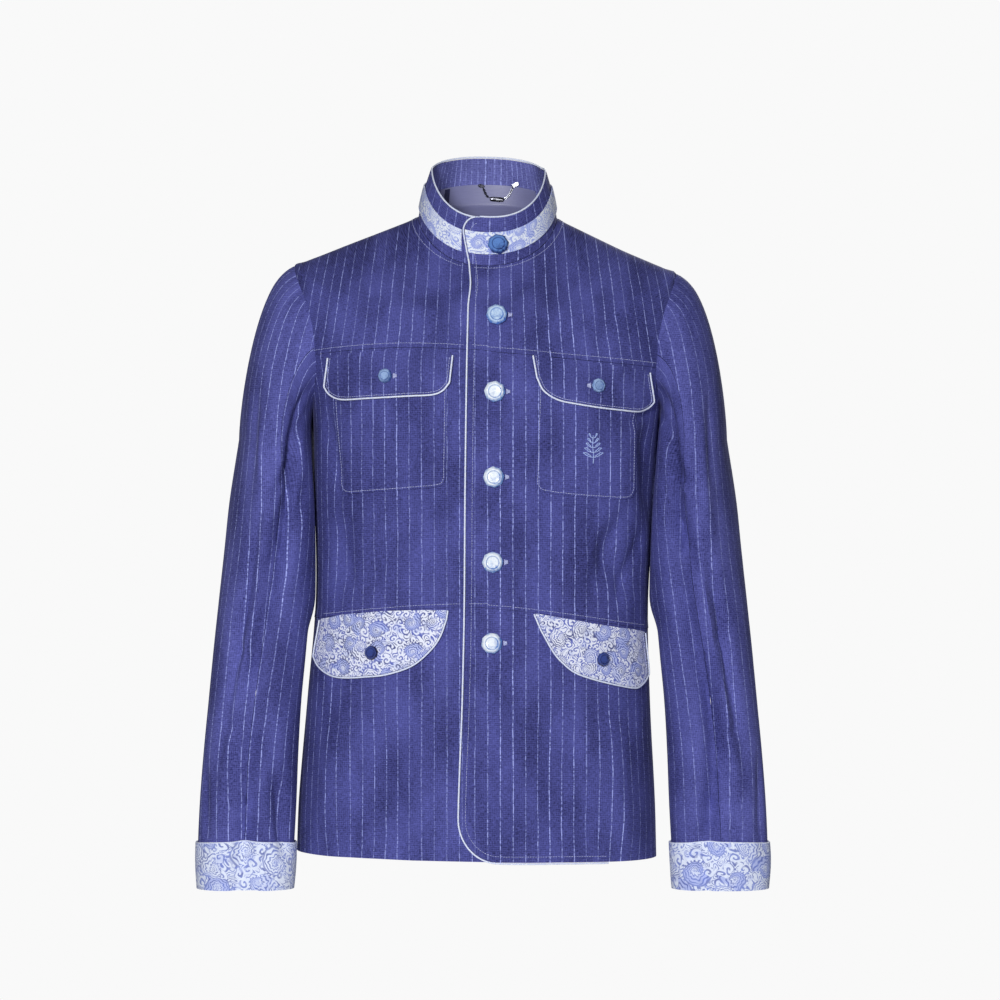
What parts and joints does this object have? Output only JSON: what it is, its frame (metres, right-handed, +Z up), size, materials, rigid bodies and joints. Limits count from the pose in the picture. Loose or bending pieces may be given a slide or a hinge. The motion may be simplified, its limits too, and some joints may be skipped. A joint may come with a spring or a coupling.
{
  "type": "safari jacket",
  "caption": "Safari jacket in striped cloth with a stand collar, chest and hip pockets, piped edges and paisley cuffs, collar band and flaps.",
  "frame": {"origin": "inside the open top of the jacket at the height where the shoulders meet the neck, midway between front and back, at the middle of the neck from side to side as the picture shows it", "axes": "+X towards the wearer's left, +Y towards the wearer's back (the front faces -Y), +Z up"},
  "size_m": [0.623, 0.255, 0.8097],
  "materials": {
    "striped_cloth": "matte blue cloth with fine pale dotted stripes",
    "paisley_cloth": "light blue cloth with a small paisley print",
    "piping": "pale lavender piping cord",
    "lining": "grey-blue satin lining",
    "chain_metal": "polished small chain links and a plate",
    "pearl_button": "pearly faceted button",
    "dark_button": "dark navy polished button"
  },
  "bodies": {
    "root": {"back": "striped_cloth", "back_neck_lining": "lining", "button_chest_left": "pearl_button", "button_chest_right": "pearl_button", "button_collar": "pearl_button", "button_front_1": "pearl_button", "button_front_2": "pearl_button", "button_front_3": "pearl_button", "button_front_4": "pearl_button", "button_front_5": "pearl_button", "button_hip_left": "dark_button", "button_hip_right": "dark_button", "chain_plate": "chain_metal", "chain_run_left": "chain_metal", "chain_run_right": "chain_metal", "chain_tab_left": "chain_metal", "chain_tab_right": "chain_metal", "chest_flap_left": "striped_cloth", "chest_flap_left_piping": "piping", "chest_flap_right": "striped_cloth", "chest_flap_right_piping": "piping", "chest_pocket_left": "striped_cloth", "chest_pocket_right": "striped_cloth", "collar": "striped_cloth", "collar_band": "paisley_cloth", "collar_piping": "piping", "cuff_left": "paisley_cloth", "cuff_right": "paisley_cloth", "front_chest_left": "striped_cloth", "front_chest_right": "striped_cloth", "front_piping": "piping", "front_skirt_left": "striped_cloth", "front_skirt_right": "striped_cloth", "front_yoke_left": "striped_cloth", "front_yoke_right": "striped_cloth", "hip_flap_left": "paisley_cloth", "hip_flap_left_piping": "piping", "hip_flap_right": "paisley_cloth", "hip_flap_right_piping": "piping", "sleeve_top_left": "striped_cloth", "sleeve_top_right": "striped_cloth", "sleeve_under_left": "striped_cloth", "sleeve_under_right": "striped_cloth"}
  },
  "joints": []
}
